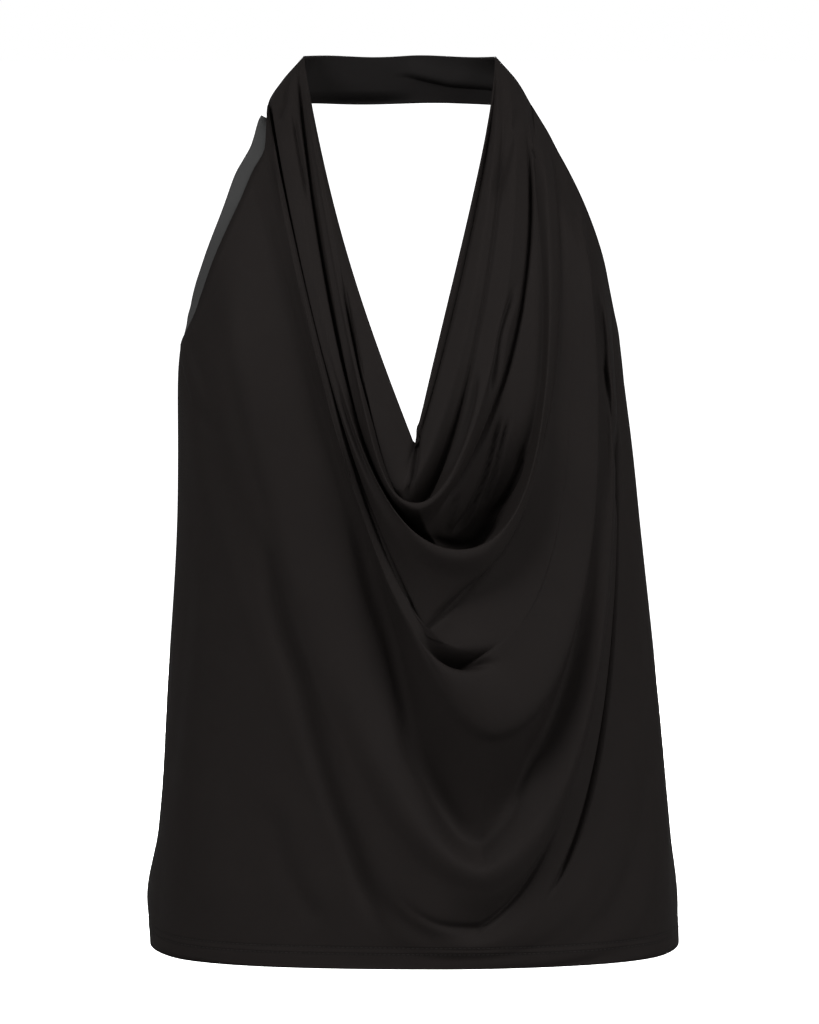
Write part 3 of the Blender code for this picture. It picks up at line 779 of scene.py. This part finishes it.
back_angle = np.linspace(0.0, np.pi, BACK_COLUMNS + 1)
back_top = UNDERARM - BACK_NECK_DIP * np.sin(back_angle) ** SCOOP_SHARPNESS
back_rows = []
for share in np.linspace(0.0, 1.0, BACK_ROWS + 1):
    height = back_top + (HEM - back_top) * share
    waves = WAVE_DEPTH * np.sin(WAVES_ROUND * back_angle + WAVE_START) * np.sin(back_angle) * share
    back_rows.append(on_back(back_angle, height, waves))
back = np.array(back_rows)
back_push = sum(crease_push(back, fold) for fold in BACK_FOLDS) * np.sqrt(np.sin(back_angle))
back += grid_normals(back) * back_push[:, :, None]
back[:, :, 2] = np.maximum(back[:, :, 2], HEM)
back_piece = cloth_piece("back_panel_cloth", back, inner_face(back, WALL))
back_piece.data.materials.append(jersey("black_jersey_back", JERSEY_COLOUR, hem_dip=1.0))
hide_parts("back_panel")
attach(back_piece, "root")
back_stitches = hem_stitches("back_hem_stitches", back)

# ---------------------------------------------------------------------------------------------
# Neck band
# A straight strip of the jersey, folded double and turned, that goes round the nape and carries
# both upper corners of the front.  Its free length twists a little.
# ---------------------------------------------------------------------------------------------
BAND_TOP = 17.0
BAND_WALL = 2.4
BAND_COLUMNS = 140
BAND_ROWS = 40
# The band's colour is a darker copy of the jersey's: painted shade
SHADED_BAND_COLOUR = (0.0062, 0.0055, 0.0054, 1.0)
EDGE_WAVE = 0.6
EDGE_WAVE_LENGTH = 14.0
RIDGE_LINE_X = (7, 36, 67)
RIDGE_LINE_Z = (4.0, -2.5, -5.0)
TWIST_RISE = 4.0
TWIST_DROP = 3.6
TWIST_SPREAD = 9.0
TWIST_START = -4.0
TWIST_FADE = 22.0
ROLL_DEPTH = 5.5
ROLL_HEIGHT = -7.0
ROLL_SPREAD = 9.0
ROLL_END = 14.0
ROLL_FADE = 26.0

# Right of the middle the cloth rolls over into a ridge that drops sharply below a slanting line;
# left of it the lower edge rolls away.
band_angle = np.linspace(0.0, np.pi, BAND_COLUMNS + 1)
band_x = on_back(band_angle, np.zeros_like(band_angle), 0.0)[:, 0]
ridge_height = np.interp(band_x, RIDGE_LINE_X, RIDGE_LINE_Z)
band_rows = []
for share in np.linspace(0.0, 1.0, BAND_ROWS + 1):
    height = BAND_TOP + (BAND_FOOT - BAND_TOP) * share
    height = height + EDGE_WAVE * np.sin(band_x / EDGE_WAVE_LENGTH)
    above = height - ridge_height
    twist = TWIST_RISE * smoothstep(above / TWIST_DROP + 0.5) * np.exp(-(above / TWIST_SPREAD) ** 2)
    twist *= smoothstep((band_x - TWIST_START) / TWIST_FADE)
    roll = ROLL_DEPTH * smoothstep((ROLL_HEIGHT - height) / ROLL_SPREAD)
    roll *= smoothstep((ROLL_END - band_x) / ROLL_FADE)
    band_rows.append(on_back(band_angle, height, (roll - twist) * np.sin(band_angle)))
band = np.array(band_rows)
band_piece = cloth_piece("neck_band_cloth", band, inner_face(band, BAND_WALL))
# Painted shade: the band's jersey takes the darker colour
band_piece.data.materials.append(jersey("black_band_jersey", SHADED_BAND_COLOUR))
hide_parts("neck_band")
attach(band_piece, "root")

# ---------------------------------------------------------------------------------------------
# Armhole facings
# Narrow strips sewn along the armholes.  The left one rolls out past the edge and shows the
# paler wrong side of the knit; the right one lies turned in.
# ---------------------------------------------------------------------------------------------
FACING_GAP = 0.4
FACING_TUCK = 2.0
FACING_FOOT = -165.0
FACING_WIDTH = 12.0
FACING_SEAM = 2.0
FACING_WALL = 1.0
FACING_COLUMNS = 10
FACING_COLOUR = (0.028, 0.028, 0.028, 1.0)
# The column of the front whose points show which way its cloth runs in from the cut edge
INWARD = 3


def armhole_rows(column, foot):
    """The rows of the front whose given side column lies along the armhole."""
    z = front[:, column, 2]
    return (z < ARMHOLE_TOP) & (z > foot)


left_rows = armhole_rows(0, UNDERARM)
left_edge = front[left_rows, 0]
left_along = np.gradient(left_edge, axis=0)
left_away = left_edge - front[left_rows, INWARD]
left_away -= left_along * (np.sum(left_away * left_along, axis=1)
                           / np.sum(left_along ** 2, axis=1))[:, None]
left_away /= np.linalg.norm(left_away, axis=1, keepdims=True)
left_shown = smooth_read(CUTS, "facing", left_edge[:, 2])[:, None]
left_behind = -grid_normals(front)[left_rows, 0] * (WALL + FACING_GAP)
left_strips = [left_edge + left_away * (left_shown * share - FACING_TUCK * (1 - share)) + left_behind
               for share in np.linspace(1.0, 0.0, FACING_COLUMNS + 1)]
left_facing = np.stack(left_strips, axis=1)
left_piece = cloth_piece("armhole_facing_left_cloth", left_facing,
                         inner_face(left_facing, FACING_WALL))

right_rows = armhole_rows(-1, FACING_FOOT)
behind = (front - grid_normals(front) * (WALL + FACING_GAP))[right_rows]
right_edge, right_inner = behind[:, -1], behind[:, -1 - INWARD]
right_across = right_inner - right_edge
right_across /= np.linalg.norm(right_across, axis=1, keepdims=True)
right_strips = [right_edge + right_across * width
                for width in np.linspace(FACING_WIDTH, FACING_SEAM, FACING_COLUMNS + 1)]
right_facing = np.stack(right_strips, axis=1)
right_piece = cloth_piece("armhole_facing_right_cloth", right_facing,
                          inner_face(right_facing, FACING_WALL))
for piece, node, width, area in ((left_piece, "armhole_facing_left", 0.015, 0.0025),
                                 (right_piece, "armhole_facing_right", 0.012, 0.0011)):
    piece.data.materials.append(jersey(node + "_jersey", FACING_COLOUR, unevenness=0.2, sheen=0.03))
    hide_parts(node)
    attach(piece, "root")

# ---------------------------------------------------------------------------------------------
# Floor, light and camera
# A plain pale floor in soft studio light from both sides, with more behind for the back panel.
# ---------------------------------------------------------------------------------------------
FLOOR_DROP = 0.28
FLOOR_SPAN = 900.0
FLOOR_SEEN = 0.97
FLOOR_BOUNCE = 0.30
SKY_SEEN = 1.0
SKY_LIGHT = 0.22
CEILING_LIGHT = 0.2
CEILING_SPREAD = 70.0
LIGHT_AIM = (0.0, -0.1, -0.28)
CAMERA_PLACE = (0.007, -3.5, 0.02)
CAMERA_AIM_HEIGHT = -0.302
CAMERA_AIM_DEPTH = -0.09
CAMERA_LENS = 214.1

bpy.ops.mesh.primitive_plane_add(size=FLOOR_SPAN,
                                 location=(0.0, 0.0, cad_box[0][2] - FLOOR_DROP))
floor = bpy.context.object
floor.name = "studio_floor"
floor_material = bpy.data.materials.new("pale_floor")
floor_material.use_nodes = True
floor_nodes, floor_links = floor_material.node_tree.nodes, floor_material.node_tree.links
floor_surface = floor_nodes["Principled BSDF"]
floor_surface.inputs["Roughness"].default_value = 0.9
floor_surface.inputs["Specular IOR Level"].default_value = 0.0
floor_ray = floor_nodes.new("ShaderNodeLightPath")
floor_shade = floor_nodes.new("ShaderNodeMapRange")
floor_shade.inputs["To Min"].default_value = FLOOR_BOUNCE
floor_shade.inputs["To Max"].default_value = FLOOR_SEEN
floor_links.new(floor_ray.outputs["Is Camera Ray"], floor_shade.inputs["Value"])
floor_links.new(floor_shade.outputs["Result"], floor_surface.inputs["Base Color"])
floor_surface.inputs["Emission Color"].default_value = (1.0, 1.0, 1.0, 1.0)
floor_links.new(floor_ray.outputs["Is Camera Ray"], floor_surface.inputs["Emission Strength"])
floor.data.materials.append(floor_material)

world = bpy.data.worlds.new("studio")
bpy.context.scene.world = world
world.use_nodes = True
sky_nodes, sky_links = world.node_tree.nodes, world.node_tree.links
sky_ray = sky_nodes.new("ShaderNodeLightPath")
sky_strength = sky_nodes.new("ShaderNodeMapRange")
sky_strength.inputs["To Min"].default_value = SKY_LIGHT
sky_strength.inputs["To Max"].default_value = SKY_SEEN
sky_links.new(sky_ray.outputs["Is Camera Ray"], sky_strength.inputs["Value"])
sky_links.new(sky_strength.outputs["Result"], sky_nodes["Background"].inputs["Strength"])
sky_nodes["Background"].inputs["Color"].default_value = (1.0, 1.0, 1.0, 1.0)

# Lamps, each with its place, size across and power in watts
STUDIO_LIGHTS = (
    ("key", (-3.1, -3.0, 2.6), 2.2, 295.0),
    ("fill", (3.2, -3.0, 2.6), 2.2, 165.0),
    ("low fill", (3.4, -2.8, 0.3), 2.2, 105.0),
    ("back light", (0.0, 3.8, -0.1), 0.9, 120.0),
)
for name, place, size, power in STUDIO_LIGHTS:
    light = bpy.data.lights.new(name, "AREA")
    light.shape = "DISK"
    light.size = size
    light.energy = power
    lamp = bpy.data.objects.new(name, light)
    lamp.location = place
    aim = np.array(LIGHT_AIM) - np.array(place)
    lamp.rotation_euler = (math.acos(-aim[2] / np.linalg.norm(aim)), 0.0,
                           math.atan2(aim[1], aim[0]) - math.pi / 2)
    bpy.context.collection.objects.link(lamp)
ceiling = bpy.data.lights.new("ceiling", "SUN")
ceiling.energy = CEILING_LIGHT
ceiling.angle = math.radians(CEILING_SPREAD)
bpy.context.collection.objects.link(bpy.data.objects.new("ceiling", ceiling))

camera_data = bpy.data.cameras.new("view")
camera_data.sensor_width = 36.0
camera_data.lens = CAMERA_LENS
camera_data.sensor_fit = "HORIZONTAL"
camera = bpy.data.objects.new("view", camera_data)
camera.location = CAMERA_PLACE
camera_drop = math.atan2(CAMERA_PLACE[2] - CAMERA_AIM_HEIGHT, CAMERA_AIM_DEPTH - CAMERA_PLACE[1])
camera.rotation_euler = (math.radians(90.0) - camera_drop, 0.0, 0.0)
bpy.context.collection.objects.link(camera)
bpy.context.scene.camera = camera
bpy.context.scene.view_settings.view_transform = "Standard"
